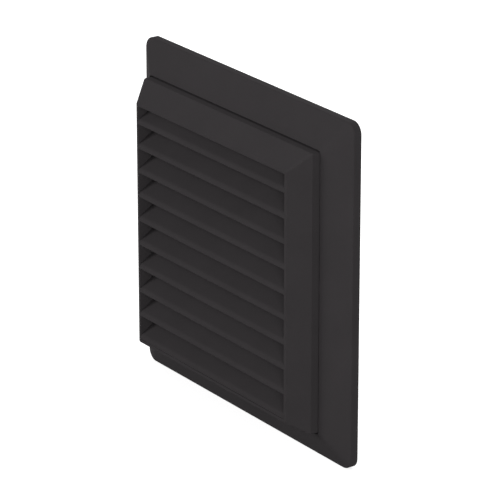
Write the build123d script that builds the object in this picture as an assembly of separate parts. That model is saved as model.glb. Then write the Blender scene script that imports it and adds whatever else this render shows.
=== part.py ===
from build123d import *
from math import hypot, radians, tan
import os

# A square louvred wall grille, moulded in one piece with a round spigot that enters the duct behind it.
# X runs across the face and Z up it. The wall is the plane Y = 0, the front faces -Y and the spigot
# points along +Y. The origin lies on the spigot's axis, in the wall's plane.
# Millimetres. A "height" is a distance in front of the wall, so a height h lies at Y = -h.

# Plate: the square flange that covers the hole in the wall
plate_side = 150.0
plate_corner_radius = 5.0
plate_edge_radius = 0.8
rim_height = 3.6  # upright edge between the wall and the sloping flange
flange_width = 13.2  # from the rim in to the groove, seen from the front
flange_rise = 6.9  # from the rim up to the flange's inner edge
skin = 2.2  # wall thickness of plate and hood

# Shadow groove that parts the flange from the hood
groove_width = 0.7
groove_depth = 2.0

# Hood: an upright wall, then a steep bevel on all four sides up to the front face
hood_corner_radius = 0.8
hood_edge_radius = 0.5
hood_wall_rise = 3.3  # upright wall that stands above the flange's inner edge
bevel_rise = 8.3
bevel_inset = 6.4  # how far the bevel closes in on each side, less or more with the drop
front_drop = 1.35  # the front face sits this much below the plate's centre

# Louvre bank: sloping slats between two cheeks, their lips flush with the front face
front_land = 1.3  # front face left round the opening
slat_pitch = 10.94
slat_slope = 34.0  # degrees above level, rising inwards
slat_lip_height = 2.15
slat_top_radius = 2.0
slat_drip_radius = 0.2
cheek_thickness = 1.8

# Spigot: a plain tube with a thicker collar where it grows out of the slats
spigot_outer_radius = 49.0
spigot_wall = 2.0
spigot_length = 18.0  # behind the wall's plane
spigot_lead_in = 1.0
collar_step = 1.0  # how far the collar stands out of the tube, inside and outside
collar_length = 4.5

# Heights of the main edges
flange_height = rim_height + flange_rise
groove_floor_height = flange_height - groove_depth
hood_wall_height = flange_height + hood_wall_rise
front_height = hood_wall_height + bevel_rise

# Plan sizes that follow from the ones above
groove_side = plate_side - 2 * flange_width
groove_corner_radius = hood_corner_radius + groove_width
hood_side = groove_side - 2 * groove_width
front_side = hood_side - 2 * bevel_inset
opening_side = front_side - 2 * front_land

# Each slat rises until its inner end is level with the underside of the lip above,
# so nothing can be seen or blown straight through, and the mould still draws along Y.
slat_rise = slat_pitch - slat_lip_height
slat_depth = slat_rise / tan(radians(slat_slope))
slat_back_height = front_height - slat_depth
slat_count = int((opening_side - slat_lip_height) // slat_pitch) + 1
sill_z = -front_drop - opening_side / 2


def square(side, height, radius, drop=0.0):
    """A square with rounded corners, parallel to the wall at a height in front of it."""
    return Plane.XZ.offset(height) * Pos(0, -drop) * RectangleRounded(side, side, radius)


def edges_at(shape, height):
    """The edges that lie in the plane at a height in front of the wall."""
    return shape.edges().filter_by(lambda edge: abs(edge.bounding_box().min.Y + height) < 1e-4
                                   and abs(edge.bounding_box().max.Y + height) < 1e-4)


def make_plate():
    """The plate as a full block: an upright rim under four mitred sloping facets."""
    rim = extrude(square(plate_side, 0, plate_corner_radius), rim_height)
    foot = square(plate_side, rim_height, plate_corner_radius)
    crest = square(groove_side, flange_height, groove_corner_radius)
    block = rim + loft([foot, crest], ruled=True)
    return fillet(edges_at(block, rim_height), plate_edge_radius)


def make_hood():
    """The hood as a full block: an upright square wall that closes in to the front face."""
    wall = extrude(square(hood_side, 0, hood_corner_radius), hood_wall_height)
    shoulder = square(hood_side, hood_wall_height, hood_corner_radius)
    front = square(front_side, front_height, hood_corner_radius, front_drop)
    block = wall + loft([shoulder, front], ruled=True)
    block = fillet(edges_at(block, hood_wall_height), hood_edge_radius)
    return fillet(edges_at(block, front_height), hood_edge_radius)


def make_plate_hollow():
    """The hollow behind the flange, one skin inside the rim and the slope, up to the groove's back."""
    slope = flange_rise / flange_width
    lift = skin * slope - skin * hypot(1, slope)
    rim_top = rim_height + lift
    ceiling = groove_floor_height - skin
    side = plate_side - 2 * skin
    ceiling_side = side - 2 * (ceiling - rim_top) / slope
    corner = plate_corner_radius - skin
    upright = extrude(square(side, 0, corner), rim_top)
    sloping = loft([square(side, rim_top, corner), square(ceiling_side, ceiling, corner)], ruled=True)
    return upright + sloping


def make_hood_hollow():
    """The hollow behind the hood, one skin inside its wall and its four bevels."""
    side_skin = skin * hypot(1, bevel_inset / bevel_rise)
    top_skin = skin * hypot(1, (bevel_inset + front_drop) / bevel_rise)
    bottom_skin = skin * hypot(1, (bevel_inset - front_drop) / bevel_rise)
    wall_top = hood_wall_height - (side_skin - skin) * bevel_rise / bevel_inset
    side = hood_side - 2 * skin
    mouth = Rectangle(front_side - 2 * side_skin, front_side - top_skin - bottom_skin)
    mouth = Plane.XZ.offset(front_height) * Pos(0, (bottom_skin - top_skin) / 2 - front_drop) * mouth
    upright = extrude(Plane.XZ * Rectangle(side, side), wall_top)
    sloping = loft([Plane.XZ.offset(wall_top) * Rectangle(side, side), mouth], ruled=True)
    return upright + sloping


def make_slats():
    """All the slats, from the sill upwards: one rounded lip profile drawn across the opening."""
    lip_y = -front_height
    back_y = -slat_back_height
    corners = [
        (lip_y, 0),
        (lip_y, slat_lip_height),
        (back_y, slat_lip_height + slat_rise),
        (back_y, slat_rise),
    ]
    profile = Plane.YZ * make_face(Polyline(corners, close=True))
    lip = profile.vertices().sort_by(Axis.Y)[:2].sort_by(Axis.Z)
    drip = fillet(lip[0], slat_drip_radius)
    top = drip.vertices().filter_by(lambda v: abs(v.Y - lip_y) < 1e-4).sort_by(Axis.Z)[-1]
    section = fillet(top, slat_top_radius)
    half_length = (opening_side + cheek_thickness) / 2
    slat = extrude(section, half_length, both=True)
    return [Pos(0, 0, sill_z + row * slat_pitch) * slat for row in range(slat_count)]


def make_cheeks(hood):
    """The two upright walls that carry the slats' ends, trimmed to the hood's outside."""
    reach = (opening_side + cheek_thickness) / 2
    footprint = Plane.XZ.offset(slat_back_height) * Rectangle(cheek_thickness, hood_side - skin)
    cheek = extrude(footprint, front_height - slat_back_height)
    return [(Pos(side * reach, 0, 0) * cheek) & hood for side in (-1, 1)]


def make_spigot():
    """The tube behind the slats, chamfered at its free end, with the collar that roots it in them."""
    bore_radius = spigot_outer_radius - spigot_wall
    free_end = Plane.XZ.offset(-spigot_length)
    tube_length = spigot_length + slat_back_height
    tube = extrude(free_end * Circle(spigot_outer_radius), tube_length)
    tube = chamfer(edges_at(tube, -spigot_length), spigot_lead_in)
    tube -= extrude(free_end * Circle(bore_radius), tube_length)
    ring = Circle(spigot_outer_radius + collar_step) - Circle(bore_radius - collar_step)
    collar = extrude(Plane.XZ.offset(slat_back_height) * ring, collar_length)
    return tube + collar


def make_grille():
    """The whole moulding: hollowed plate and hood, then the louvre bank and the spigot."""
    hood = make_hood()
    groove = extrude(square(groove_side, groove_floor_height, groove_corner_radius), groove_depth)
    mouth = Pos(0, -front_drop) * Rectangle(opening_side, opening_side)
    opening = extrude(Plane.XZ.offset(hood_wall_height) * mouth, bevel_rise)
    grille = make_plate() - groove + hood
    grille -= make_plate_hollow()
    grille -= make_hood_hollow()
    grille -= opening
    for piece in make_cheeks(hood) + make_slats() + [make_spigot()]:
        grille += piece
    return grille


os.makedirs("parts", exist_ok=True)
export_step(make_grille(), "parts/spigot_grille.step")
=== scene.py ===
"""Looks of a square louvred wall grille with a round spigot: one moulding of near-black plastic.

The shape is the moulding itself, as packed. This script gives it the finish that the mould leaves,
stands it on a pale floor in soft studio light and sets the camera at the photograph's angle. Places
are in metres, and sizes on the moulding are in millimetres.
"""

import logging
from dataclasses import dataclass, field
from enum import Enum
from math import cos, pi, radians, sin, sqrt

import bpy
import numpy as np
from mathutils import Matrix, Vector


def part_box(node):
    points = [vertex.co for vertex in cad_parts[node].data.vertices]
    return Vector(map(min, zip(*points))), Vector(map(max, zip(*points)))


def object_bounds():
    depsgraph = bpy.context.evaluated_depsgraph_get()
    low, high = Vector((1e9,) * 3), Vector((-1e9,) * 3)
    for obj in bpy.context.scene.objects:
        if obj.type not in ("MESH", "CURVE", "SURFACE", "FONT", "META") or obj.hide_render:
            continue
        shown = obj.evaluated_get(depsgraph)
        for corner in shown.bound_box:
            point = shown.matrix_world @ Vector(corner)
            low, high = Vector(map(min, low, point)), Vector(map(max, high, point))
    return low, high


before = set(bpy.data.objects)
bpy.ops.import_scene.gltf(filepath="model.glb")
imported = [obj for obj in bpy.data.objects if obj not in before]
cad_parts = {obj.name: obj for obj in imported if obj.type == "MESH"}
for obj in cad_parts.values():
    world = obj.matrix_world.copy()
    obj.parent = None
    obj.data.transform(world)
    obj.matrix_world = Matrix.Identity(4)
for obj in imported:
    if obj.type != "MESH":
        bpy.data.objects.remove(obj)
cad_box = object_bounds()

log = logging.getLogger("spigot_grille")
MM = 0.001
WHITE = (1.0, 1.0, 1.0, 1.0)
NOISE_MIDDLE = 0.5
Colour = tuple[float, float, float]


class Sum(Enum):
    """Operations of a Math node that the finishes use."""

    ADD = "ADD"
    SUBTRACT = "SUBTRACT"
    MULTIPLY = "MULTIPLY"
    MINIMUM = "MINIMUM"
    MAXIMUM = "MAXIMUM"
    ABSOLUTE = "ABSOLUTE"


class Blend(Enum):
    """What a Mix node blends: its data type, then its first blended input and its output by place."""

    NUMBER = ("FLOAT", 2, 0)
    COLOUR = ("RGBA", 6, 2)


class Ray(Enum):
    """Kinds of ray that look at the studio, as the Light Path node names them."""

    CAMERA = "Is Camera Ray"
    GLOSSY = "Is Glossy Ray"
    TRANSMISSION = "Is Transmission Ray"


@dataclass(frozen=True)
class Blotch:
    """Solid noise of one size: its width, how many finer layers it has and how strong each of them is."""

    width_mm: float
    detail: float
    contrast: float


@dataclass(frozen=True)
class Wire:
    """One output socket on a board. Python's operators on it add Math nodes."""

    board: "Board"
    socket: bpy.types.NodeSocket

    def __add__(self, other: "Wire | float") -> "Wire":
        """This value plus another."""
        return self.board.sum(Sum.ADD, self, other)

    def __radd__(self, other: float) -> "Wire":
        """A number plus this value."""
        return self.board.sum(Sum.ADD, other, self)

    def __sub__(self, other: "Wire | float") -> "Wire":
        """This value less another."""
        return self.board.sum(Sum.SUBTRACT, self, other)

    def __rsub__(self, other: float) -> "Wire":
        """A number less this value."""
        return self.board.sum(Sum.SUBTRACT, other, self)

    def __mul__(self, other: "Wire | float") -> "Wire":
        """This value times another."""
        return self.board.sum(Sum.MULTIPLY, self, other)

    def __rmul__(self, other: float) -> "Wire":
        """A number times this value."""
        return self.board.sum(Sum.MULTIPLY, other, self)

    def __neg__(self) -> "Wire":
        """This value with its sign turned."""
        return self.board.sum(Sum.MULTIPLY, self, -1.0)

    def __abs__(self) -> "Wire":
        """This value without its sign."""
        return self.board.sum(Sum.ABSOLUTE, self)


class Board:
    """A node tree that is filled by expressions: every node on it comes from the method node."""

    def __init__(self, tree: bpy.types.NodeTree) -> None:
        """Takes a node tree and clears it."""
        tree.nodes.clear()
        self.tree = tree

    def node(self, kind: str, settings: dict[str, object] | None = None,
             feeds: dict[str | int, object] | None = None) -> bpy.types.Node:
        """Adds one node.

        Args:
            kind: Blender's name for the node's type.
            settings: The node's own properties, which are set first.
            feeds: What goes into each socket, by name or place: a Wire is linked, anything else is set.

        Returns:
            The new node.
        """
        made = self.tree.nodes.new(kind)
        for name, value in (settings or {}).items():
            setattr(made, name, value)
        for key, value in (feeds or {}).items():
            if isinstance(value, Wire):
                self.tree.links.new(value.socket, made.inputs[key])
            else:
                made.inputs[key].default_value = value
        return made

    def wire(self, node: bpy.types.Node, output: str | int = 0) -> Wire:
        """One output of a node, ready for expressions."""
        return Wire(self, node.outputs[output])

    def sum(self, operation: Sum, *values: "Wire | float") -> Wire:
        """Adds a Math node that works on one or two values."""
        settings = {"operation": operation.value}
        return self.wire(self.node("ShaderNodeMath", settings, dict(enumerate(values))))

    def least(self, first: Wire, *others: "Wire | float") -> Wire:
        """The smallest of several values.

        Args:
            first: One of the values.
            others: The rest of them.

        Returns:
            The smallest value.
        """
        for other in others:
            first = self.sum(Sum.MINIMUM, first, other)
        return first

    def most(self, first: Wire, *others: "Wire | float") -> Wire:
        """The largest of several values.

        Args:
            first: One of the values.
            others: The rest of them.

        Returns:
            The largest value.
        """
        for other in others:
            first = self.sum(Sum.MAXIMUM, first, other)
        return first

    def step(self, value: Wire, low: float, high: float) -> Wire:
        """A mask that rises smoothly with a value.

        Args:
            value: What the mask follows.
            low: The value at which the mask is 0. It may be the larger one, and the mask then falls.
            high: The value at which the mask is 1.

        Returns:
            The mask.
        """
        settings = {"interpolation_type": "SMOOTHSTEP"}
        feeds = {"Value": value, "From Min": low, "From Max": high}
        return self.wire(self.node("ShaderNodeMapRange", settings, feeds), "Result")

    def blend(self, kind: Blend, mask: Wire, when_0: object, when_1: object) -> Wire:
        """One thing where the mask is 0, another where it is 1.

        Args:
            kind: What is blended.
            mask: The mask.
            when_0: A number, a colour or a Wire for mask 0.
            when_1: The same for mask 1.

        Returns:
            The blend.
        """
        data_type, first, output = kind.value
        feeds = {0: mask, first: when_0, first + 1: when_1}
        return self.wire(self.node("ShaderNodeMix", {"data_type": data_type}, feeds), output)

    def choose(self, mask: Wire, when_0: "Wire | float", when_1: "Wire | float") -> Wire:
        """One number where the mask is 0, another where it is 1."""
        return self.blend(Blend.NUMBER, mask, when_0, when_1)

    def tint(self, mask: Wire, when_0: Colour, when_1: Colour) -> Wire:
        """One colour where the mask is 0, another where it is 1."""
        return self.blend(Blend.COLOUR, mask, (*when_0, 1.0), (*when_1, 1.0))

    def noise(self, place: Wire, blotch: Blotch) -> Wire:
        """Solid noise from 0 to 1.

        Args:
            place: Position in millimetres.
            blotch: The noise's size and layers.

        Returns:
            The noise value.
        """
        settings = {"noise_dimensions": "3D"}
        scale = 1.0 / blotch.width_mm
        feeds = {"Vector": place, "Scale": scale, "Detail": blotch.detail, "Roughness": blotch.contrast}
        return self.wire(self.node("ShaderNodeTexNoise", settings, feeds), 0)


@dataclass(frozen=True)
class MouldedPlastic:
    """Near-black plastic as it leaves the mould: eroded grain on the show side, a smoother core side.

    Both tones and the roughness drift a little over the surface. The core side has a weak gloss on top.
    """

    name: str = "moulded_black_plastic"
    deep_tone: Colour = (0.0292, 0.0268, 0.0280)
    pale_tone: Colour = (0.0328, 0.0300, 0.0314)
    specular_level: float = 0.010
    show_roughness: float = 0.72
    core_roughness: float = 0.48
    core_gloss: float = 0.22
    gloss_roughness: float = 0.38
    roughness_swing: float = 0.10
    drift: Blotch = Blotch(width_mm=5.0, detail=4.0, contrast=0.55)
    cloud: Blotch = Blotch(width_mm=18.0, detail=2.0, contrast=0.5)
    cloud_share: float = 0.6
    deep_below: float = 0.2
    pale_above: float = 0.8
    peak: Blotch = Blotch(width_mm=0.45, detail=3.0, contrast=0.6)
    pit_mm: float = 0.9
    pit_softness: float = 0.8
    pit_share: float = 0.45
    show_depth_mm: float = 0.022
    core_depth_mm: float = 0.004

    def grain(self, board: Board, place: Wire) -> Wire:
        """The eroded surface, from 0 in the pits to 1 on the peaks: fine noise over rounded pits.

        Args:
            board: The board that the nodes go on.
            place: Position in millimetres.

        Returns:
            The height of the grain.
        """
        settings = {"feature": "SMOOTH_F1", "voronoi_dimensions": "3D"}
        feeds = {"Vector": place, "Scale": 1.0 / self.pit_mm, "Smoothness": self.pit_softness}
        pits = board.wire(board.node("ShaderNodeTexVoronoi", settings, feeds), "Distance")
        peaks = board.noise(place, self.peak)
        return self.pit_share * pits + (1.0 - self.pit_share) * peaks

    def material(self, place_of_show: "ShowSide") -> bpy.types.Material:
        """Builds the finish.

        Args:
            place_of_show: Where on the moulding the show side is.

        Returns:
            The material.
        """
        made = bpy.data.materials.new(self.name)
        made.use_nodes = True
        board = Board(made.node_tree)
        coordinates = board.node("ShaderNodeTexCoord")
        to_mm = {0: board.wire(coordinates, "Object"), "Scale": 1.0 / MM}
        place = board.wire(board.node("ShaderNodeVectorMath", {"operation": "SCALE"}, to_mm))
        show = place_of_show.mask(board, place)
        grain = self.grain(board, place)
        blotches = self.cloud_share * board.noise(place, self.cloud) + (1.0 - self.cloud_share) * grain
        tone = board.step(blotches, self.deep_below, self.pale_above)
        swing = self.roughness_swing * (board.noise(place, self.drift) - NOISE_MIDDLE)
        roughness = board.choose(show, self.core_roughness, self.show_roughness)
        height_mm = grain * board.choose(show, self.core_depth_mm, self.show_depth_mm)
        bump = board.node("ShaderNodeBump", None, {"Strength": 1.0, "Distance": MM, "Height": height_mm})
        surface = board.node("ShaderNodeBsdfPrincipled", None, {
            "Base Color": board.tint(tone, self.deep_tone, self.pale_tone),
            "Roughness": roughness + swing,
            "Coat Weight": self.core_gloss * (1.0 - show),
            "Normal": board.wire(bump),
            "Specular IOR Level": self.specular_level,
            "Coat Roughness": self.gloss_roughness,
        })
        board.node("ShaderNodeOutputMaterial", None, {"Surface": board.wire(surface)})
        return made


@dataclass(frozen=True)
class ShowSide:
    """The side of the moulding that is seen once it is on the wall, in the moulding's own millimetres.

    A height is a distance in front of the wall. A point is on the show side where it lies above the
    middle of the skin, which follows the flange's slope, the groove's floor and the hood's bevels and
    front. In the opening it has to lie above the slats' inner ends. The upright rim's outer face is on
    the show side too. The blend is half the width of the soft edge.
    """

    plate_half: float
    front_height: float
    corner_radius: float = 5.0
    rim_height: float = 3.6
    flange_width: float = 13.2
    flange_rise: float = 6.9
    groove_width: float = 0.7
    groove_depth: float = 2.0
    hood_wall_rise: float = 3.3
    bevel_inset: float = 6.4
    front_drop: float = 1.35
    front_land: float = 1.3
    slat_back_height: float = 9.07
    skin: float = 2.2
    blend: float = 0.25

    def mask(self, board: Board, place: Wire) -> Wire:
        """Where the show side is.

        Args:
            board: The board that the nodes go on.
            place: Position in millimetres.

        Returns:
            1 on the show side and 0 on the core side.
        """
        split = board.node("ShaderNodeSeparateXYZ", None, {0: place})
        across, depth, up = (board.wire(split, axis) for axis in range(3))
        above_middle = -depth - self.skin_middle(board, across, up)
        in_front = board.step(above_middle, -self.blend, self.blend)
        outside = board.step(self.past_rim(board, across, up), 0.0, self.blend)
        return board.most(in_front, outside)

    def skin_middle(self, board: Board, across: Wire, up: Wire) -> Wire:
        """Height of the middle of the skin.

        In each zone it is a plane, or under the bevels and the front the lowest of several planes.
        Square zones, one inside the other, choose between them.

        Args:
            board: The board that the nodes go on.
            across: Position along X.
            up: Position along Z.

        Returns:
            The height.
        """
        square = board.most(abs(across), abs(up))
        lowered_square = board.most(abs(across), abs(up + self.front_drop))
        half_skin = self.skin / 2
        crest = self.rim_height + self.flange_rise
        shoulder = crest + self.hood_wall_rise
        bevel_rise = self.front_height - shoulder
        groove_half = self.plate_half - self.flange_width
        hood_half = groove_half - self.groove_width
        opening_half = hood_half - self.bevel_inset - self.front_land
        slope = self.flange_rise / self.flange_width
        flange = self.rim_height - half_skin + slope * (self.plate_half - square)
        groove = crest - self.groove_depth - half_skin
        side = bevel_rise / self.bevel_inset * (hood_half - abs(across))
        top = bevel_rise / (self.bevel_inset + self.front_drop) * (hood_half - up)
        bottom = bevel_rise / (self.bevel_inset - self.front_drop) * (hood_half + up)
        bevel = shoulder - half_skin + board.least(side, top, bottom, bevel_rise)
        in_groove = self.within(board, square, groove_half + half_skin)
        in_hood = self.within(board, square, hood_half - half_skin)
        in_opening = board.step(lowered_square, opening_half + self.blend, opening_half)
        middle = board.choose(in_groove, flange, groove)
        middle = board.choose(in_hood, middle, bevel)
        return board.choose(in_opening, middle, self.slat_back_height + self.blend)

    def within(self, board: Board, square: Wire, half: float) -> Wire:
        """1 inside a square zone and 0 outside it."""
        return board.step(square, half + self.blend, half - self.blend)

    def past_rim(self, board: Board, across: Wire, up: Wire) -> Wire:
        """How far a point lies outside the middle of the rim's skin, past a side or a rounded corner.

        Args:
            board: The board that the nodes go on.
            across: Position along X.
            up: Position along Z.

        Returns:
            The distance, below 0 inside.
        """
        half_skin = self.skin / 2
        corner_reach = sqrt(2) * (self.plate_half - self.corner_radius) + self.corner_radius
        past_side = board.most(abs(across), abs(up)) - (self.plate_half - half_skin)
        past_corner = (abs(across) + abs(up)) * sqrt(0.5) - (corner_reach - half_skin)
        return board.most(past_side, past_corner)


@dataclass
class GrilleMoulding:
    """The one piece of the object: plate, hood, slats and spigot, in the shape in which it is packed."""

    node: str = "spigot_grille"
    finish: MouldedPlastic = field(default_factory=MouldedPlastic)

    def show_side(self) -> ShowSide:
        """The show side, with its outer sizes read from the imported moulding."""
        low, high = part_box(self.node)
        return ShowSide(plate_half=high.x / MM, front_height=-low.y / MM)

    def dress(self) -> bpy.types.Object:
        """Gives the moulding its finish in place of the plain one that it was packed with.

        Returns:
            The moulding.
        """
        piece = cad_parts[self.node]
        made = self.finish.material(self.show_side())
        for slot in piece.material_slots:
            slot.material = made
        return piece


@dataclass(frozen=True)
class SoftBox:
    """A square soft lamp that points at the object.

    Its level is the share of full light that it throws on a surface that faces it. At 1, a colour
    renders as it is written.
    """

    name: str
    azimuth: float
    elevation: float
    level: float
    side: float
    distance: float = 1.5

    def build(self, target: Vector) -> bpy.types.Object:
        """Makes the lamp.

        Args:
            target: The point that the lamp faces.

        Returns:
            The lamp.
        """
        lamp = bpy.data.lights.new(self.name, "AREA")
        lamp.shape = "SQUARE"
        lamp.size = self.side
        lamp.energy = self.level * (pi * self.distance) ** 2
        made = bpy.data.objects.new(self.name, lamp)
        stand_off(made, target, direction(self.azimuth, self.elevation), self.distance)
        return made


@dataclass(frozen=True)
class Studio:
    """A pale floor under the object, even light from all round and soft lamps.

    Ambient is the even light's level. Within the shadow's reach the floor is lifted only in part, and
    from the white reach outwards it is plain white.
    """

    ambient: float = 0.13
    white: float = 1.0
    floor_tone: Colour = (0.55, 0.55, 0.55)
    floor_lift: float = 0.72
    shadow_reach: float = 0.25
    white_reach: float = 1.0
    floor_half: float = 4.0
    lamps: tuple[SoftBox, ...] = (
        SoftBox("front_softbox", azimuth=-28.0, elevation=25.0, level=0.63, side=0.5),
        SoftBox("right_softbox", azimuth=62.0, elevation=14.0, level=0.71, side=0.5),
        SoftBox("top_softbox", azimuth=180.0, elevation=78.0, level=0.36, side=0.7),
        SoftBox("back_softbox", azimuth=205.0, elevation=22.0, level=0.75, side=0.7),
    )

    def looked_at(self, board: Board) -> Wire:
        """1 for the rays that look at the studio, also by reflection, and 0 for those that light it."""
        path = board.node("ShaderNodeLightPath")
        return board.most(*(board.wire(path, ray.value) for ray in Ray))

    def build_world(self) -> bpy.types.World:
        """Even light from all round, white wherever it is looked at.

        Returns:
            The world.
        """
        world = bpy.data.worlds.new("studio_light")
        world.use_nodes = True
        board = Board(world.node_tree)
        strength = board.choose(self.looked_at(board), self.ambient, self.white)
        light = board.node("ShaderNodeBackground", None, {"Color": WHITE, "Strength": strength})
        board.node("ShaderNodeOutputWorld", None, {"Surface": board.wire(light)})
        bpy.context.scene.world = world
        return world

    def floor_material(self) -> bpy.types.Material:
        """Matt pale paper, lifted to white where it is looked at.

        Near the object the lift is partial, so that the lamps' light makes up the white and the shadow
        shows. Further out, where less light falls, the lift alone is white.

        Returns:
            The material.
        """
        made = bpy.data.materials.new("pale_floor")
        made.use_nodes = True
        board = Board(made.node_tree)
        paper = board.node("ShaderNodeBsdfDiffuse", None, {"Color": (*self.floor_tone, 1.0)})
        coordinates = board.node("ShaderNodeTexCoord")
        place = {0: board.wire(coordinates, "Object")}
        length = board.node("ShaderNodeVectorMath", {"operation": "LENGTH"}, place)
        far = board.step(board.wire(length, "Value"), self.shadow_reach, self.white_reach)
        lift = board.choose(far, self.floor_lift, self.white) * self.looked_at(board)
        glow = board.node("ShaderNodeEmission", None, {"Color": lift, "Strength": 1.0})
        both = board.node("ShaderNodeAddShader", None, {0: board.wire(paper), 1: board.wire(glow)})
        board.node("ShaderNodeOutputMaterial", None, {"Surface": board.wire(both)})
        return made

    def build_floor(self, height: float) -> bpy.types.Object:
        """Makes the floor: a grid of four corners, x and y each from minus to plus the floor's half.

        Args:
            height: Where the object's lowest edge stands.

        Returns:
            The floor, marked as stage.
        """
        ends = (-self.floor_half, self.floor_half)
        x, y = np.meshgrid(ends, ends)
        corners = np.stack((x.ravel(), y.ravel(), np.full(x.size, height)), axis=1)
        mesh = bpy.data.meshes.new("floor")
        mesh.from_pydata(corners.tolist(), [], [(0, 1, 3, 2)])
        mesh.materials.append(self.floor_material())
        made = bpy.data.objects.new("floor", mesh)
        bpy.context.scene.collection.objects.link(made)
        return made

    def build(self) -> None:
        """Makes the world light, the floor and the lamps around the object's box."""
        low, high = cad_box
        self.build_world()
        self.build_floor(low.z)
        for lamp in self.lamps:
            lamp.build((low + high) / 2)
            log.info("lamp %s", lamp.name)


@dataclass(frozen=True)
class PhotoCamera:
    """The camera at the photograph's angle, upright, with no shift and no blur by depth.

    Its focal length and its frame are in the photograph's pixels.
    """

    azimuth: float = 55.004
    elevation: float = 20.567
    distance: float = 1.3802
    target: tuple[float, float, float] = (0.0122, -0.0100, 0.0044)
    focal_px: float = 3318.0
    frame_px: float = 500.0

    def build(self) -> bpy.types.Object:
        """Makes the camera and hands it to the scene.

        Returns:
            The camera.
        """
        lens = bpy.data.cameras.new("photo_camera")
        lens.lens = self.focal_px / self.frame_px * lens.sensor_width
        made = bpy.data.objects.new("photo_camera", lens)
        stand_off(made, Vector(self.target), direction(self.azimuth, self.elevation), self.distance)
        bpy.context.scene.camera = made
        return made


def direction(azimuth: float, elevation: float) -> Vector:
    """The unit vector from the object towards a place round it.

    Args:
        azimuth: Degrees to the right of the front, which faces -Y.
        elevation: Degrees above the horizon.

    Returns:
        The direction.
    """
    turn, lift = radians(azimuth), radians(elevation)
    return Vector((sin(turn) * cos(lift), -cos(turn) * cos(lift), sin(lift)))


def stand_off(made: bpy.types.Object, target: Vector, away: Vector, distance: float) -> None:
    """Puts a lamp or a camera into the scene, facing a point.

    Args:
        made: The lamp or camera.
        target: The point that it faces.
        away: The unit vector from that point towards it.
        distance: How far it stands from the point.
    """
    made.location = target + away * distance
    made.rotation_euler = away.to_track_quat("Z", "Y").to_euler()
    bpy.context.scene.collection.objects.link(made)


def main() -> None:
    """Dresses the moulding, then builds the studio and the camera."""
    logging.basicConfig(level=logging.INFO, format="%(name)s: %(message)s")
    bpy.context.scene.view_settings.view_transform = "Standard"
    piece = GrilleMoulding().dress()
    log.info("piece %s: %d faces", piece.name, len(piece.data.polygons))
    Studio().build()
    camera = PhotoCamera().build()
    log.info("camera %s: %.1f mm lens", camera.name, camera.data.lens)


if __name__ == "__main__":
    main()
